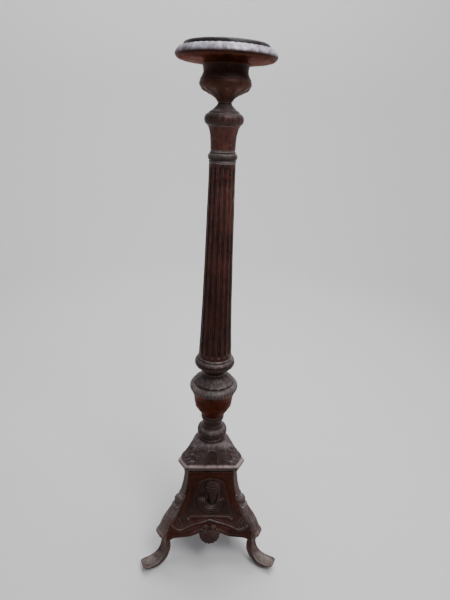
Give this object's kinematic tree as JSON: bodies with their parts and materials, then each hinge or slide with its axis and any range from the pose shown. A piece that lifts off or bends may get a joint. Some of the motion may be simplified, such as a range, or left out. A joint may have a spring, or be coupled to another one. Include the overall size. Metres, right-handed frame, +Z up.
{
  "type": "altar candlestick",
  "caption": "Tall floor-standing altar candlestick: triangular footed base, vase knop, fluted stem and cup on a tie rod, with a lift-off gadrooned drip pan and pricket.",
  "frame": {"origin": "on the floor, under the middle of the footprint; the stem's axis stands in front of it, at Y = -0.0439 m", "axes": "+Z up along the stem, -Y out of the front face, +X to the right of the front face"},
  "size_m": [0.3608, 0.3136, 1.25],
  "materials": {
    "dark_bronze": "dark brown patina on cast relief, rubbed paler on the edges",
    "brown_bronze": "dark brown patina, satin",
    "red_bronze": "red-brown patina, satin",
    "worn_bronze": "worn grey-brown patina, paler where it is handled",
    "iron": "blackened iron with a little rust"
  },
  "bodies": {
    "stand": {"base_deck": "iron", "deck_screws": "iron", "panel_front": "brown_bronze", "panel_right": "brown_bronze", "panel_left": "brown_bronze", "console_right": "brown_bronze", "console_left": "brown_bronze", "console_rear": "brown_bronze", "panel_screws": "iron", "knob_right": "dark_bronze", "knob_left": "dark_bronze", "knob_rear": "dark_bronze", "relief_front": "dark_bronze", "relief_right": "dark_bronze", "relief_left": "dark_bronze", "relief_rivets": "dark_bronze", "shell_front": "dark_bronze", "shell_right": "dark_bronze", "shell_left": "dark_bronze", "shell_rivets": "dark_bronze", "foot_right": "worn_bronze", "foot_left": "worn_bronze", "foot_rear": "worn_bronze", "foot_studs": "iron", "base_cap": "dark_bronze", "base_ring": "dark_bronze", "vase_foot": "dark_bronze", "vase_body": "red_bronze", "knop_rim": "dark_bronze", "knop_cover": "dark_bronze", "shaft_torus": "dark_bronze", "shaft": "brown_bronze", "shaft_bush_low": "iron", "shaft_bush_top": "iron", "shaft_band": "dark_bronze", "capital": "brown_bronze", "capital_ring": "dark_bronze", "stem_neck": "dark_bronze", "cup": "red_bronze", "tie_rod": "iron", "rod_washer_low": "iron", "rod_nut_low": "iron", "rod_washer_top": "iron", "rod_nut_top": "iron"},
    "pan": {"drip_pan": "red_bronze", "pan_rim": "worn_bronze", "pan_lip": "dark_bronze", "pan_spigot": "brown_bronze", "pricket": "iron", "pricket_nut": "iron"}
  },
  "joints": [
    {"name": "pan_lift", "type": "slide", "parent": "stand", "child": "pan", "axis": [0, 0, 1], "range_m": [0, 0.06]}
  ]
}
